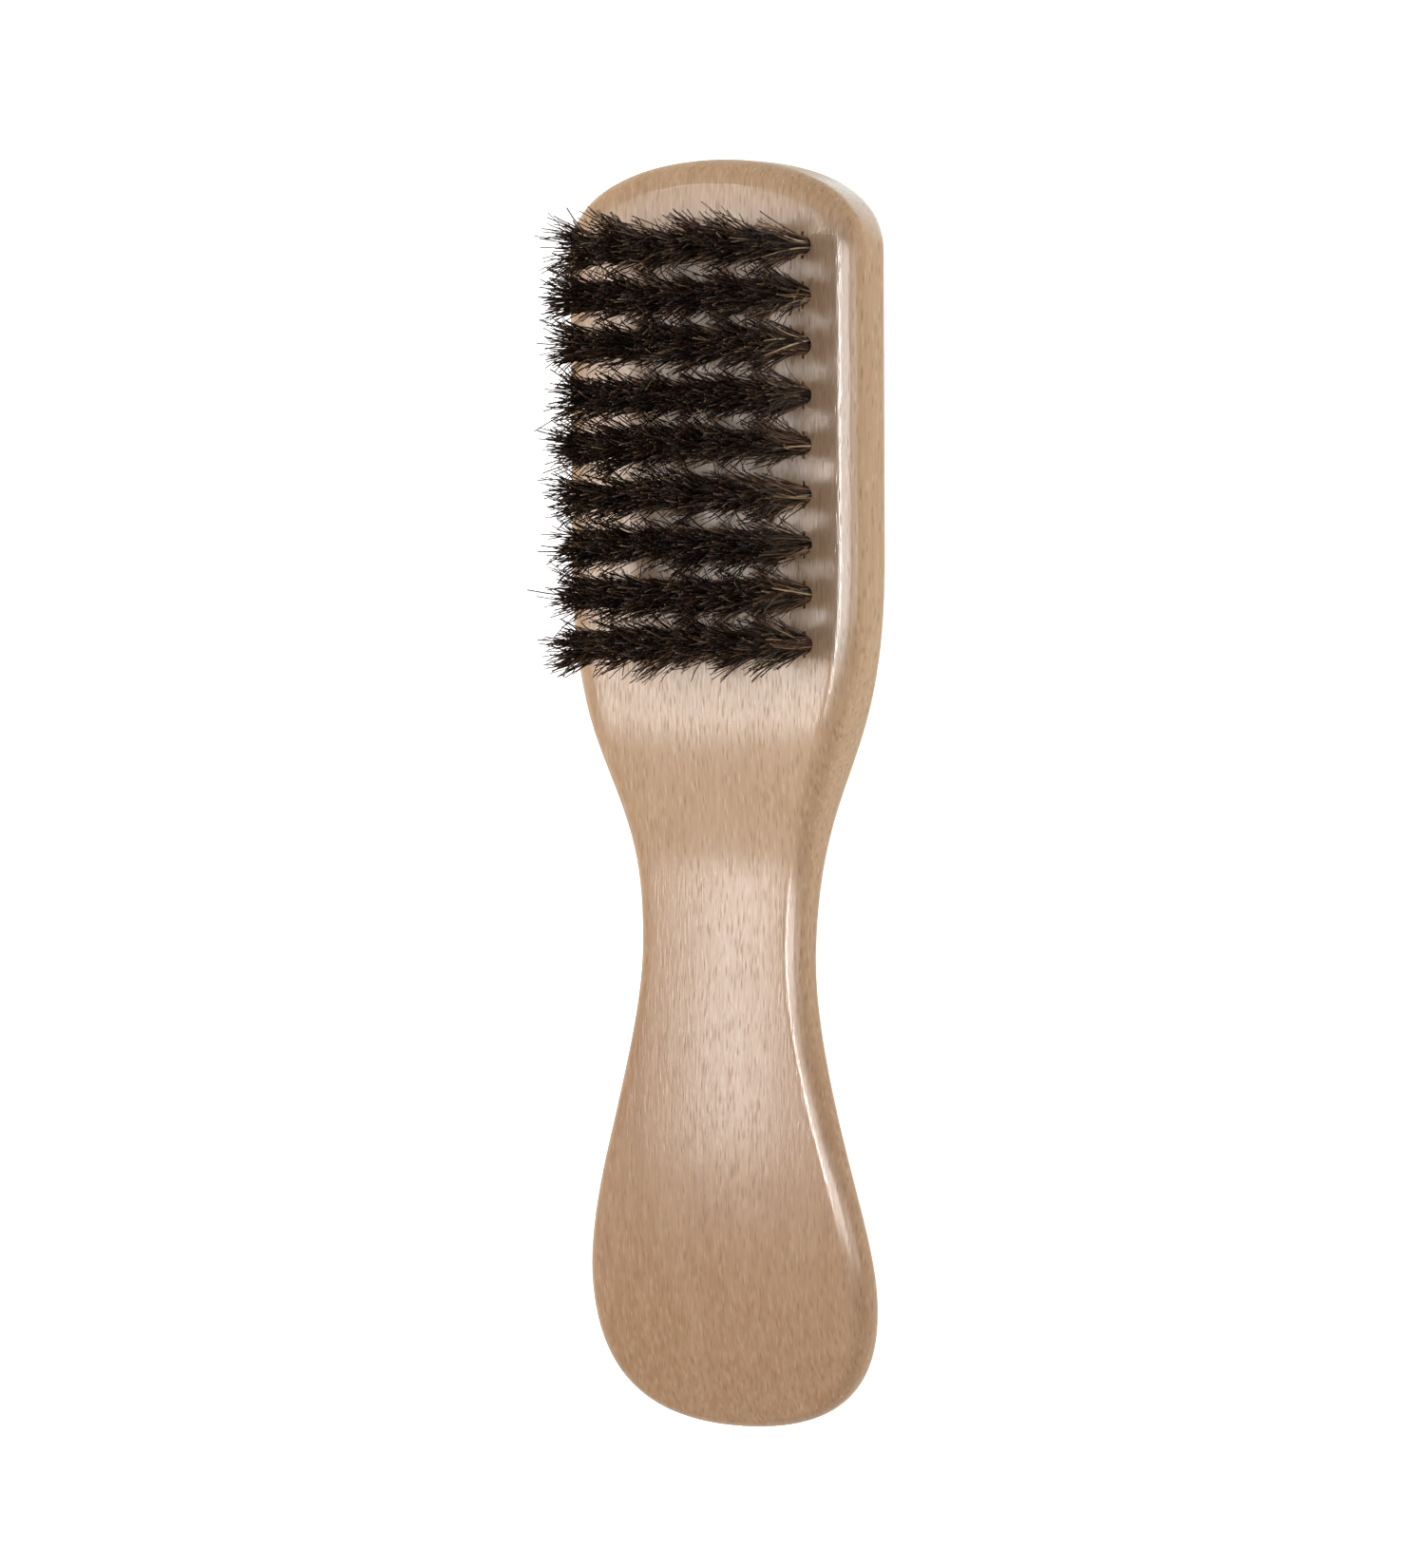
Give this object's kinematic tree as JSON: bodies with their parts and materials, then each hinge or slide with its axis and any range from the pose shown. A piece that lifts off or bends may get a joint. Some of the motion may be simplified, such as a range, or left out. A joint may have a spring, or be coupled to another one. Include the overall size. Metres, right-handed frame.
{
  "type": "beard brush",
  "caption": "Paddle-shaped wooden beard brush with tufts of stiff natural bristle in a rectangular field on a flat head and an arched, waisted grip.",
  "frame": {"origin": "half way along the length, on the plane of the flat back that the brush lies on", "axes": "+Y from the butt to the head, +Z the way the bristles point, +X across the brush"},
  "size_m": [0.0462, 0.178, 0.0285],
  "materials": {
    "wood": "light beech under a clear satin lacquer",
    "bristle": "dark brown natural bristle with lighter hairs",
    "anchor": "plain drawn flat wire"
  },
  "bodies": {
    "root": {"handle_body": "wood", "anchor_wires": "anchor", "tuft_r1_c1": "bristle", "tuft_r1_c2": "bristle", "tuft_r1_c3": "bristle", "tuft_r1_c4": "bristle", "tuft_r1_c5": "bristle", "tuft_r1_c6": "bristle", "tuft_r2_c1": "bristle", "tuft_r2_c2": "bristle", "tuft_r2_c3": "bristle", "tuft_r2_c4": "bristle", "tuft_r2_c5": "bristle", "tuft_r2_c6": "bristle", "tuft_r3_c1": "bristle", "tuft_r3_c2": "bristle", "tuft_r3_c3": "bristle", "tuft_r3_c4": "bristle", "tuft_r3_c5": "bristle", "tuft_r3_c6": "bristle", "tuft_r4_c1": "bristle", "tuft_r4_c2": "bristle", "tuft_r4_c3": "bristle", "tuft_r4_c4": "bristle", "tuft_r4_c5": "bristle", "tuft_r4_c6": "bristle", "tuft_r5_c1": "bristle", "tuft_r5_c2": "bristle", "tuft_r5_c3": "bristle", "tuft_r5_c4": "bristle", "tuft_r5_c5": "bristle", "tuft_r5_c6": "bristle", "tuft_r6_c1": "bristle", "tuft_r6_c2": "bristle", "tuft_r6_c3": "bristle", "tuft_r6_c4": "bristle", "tuft_r6_c5": "bristle", "tuft_r6_c6": "bristle", "tuft_r7_c1": "bristle", "tuft_r7_c2": "bristle", "tuft_r7_c3": "bristle", "tuft_r7_c4": "bristle", "tuft_r7_c5": "bristle", "tuft_r7_c6": "bristle", "tuft_r8_c1": "bristle", "tuft_r8_c2": "bristle", "tuft_r8_c3": "bristle", "tuft_r8_c4": "bristle", "tuft_r8_c5": "bristle", "tuft_r8_c6": "bristle", "tuft_r9_c1": "bristle", "tuft_r9_c2": "bristle", "tuft_r9_c3": "bristle", "tuft_r9_c4": "bristle", "tuft_r9_c5": "bristle", "tuft_r9_c6": "bristle"}
  },
  "joints": []
}
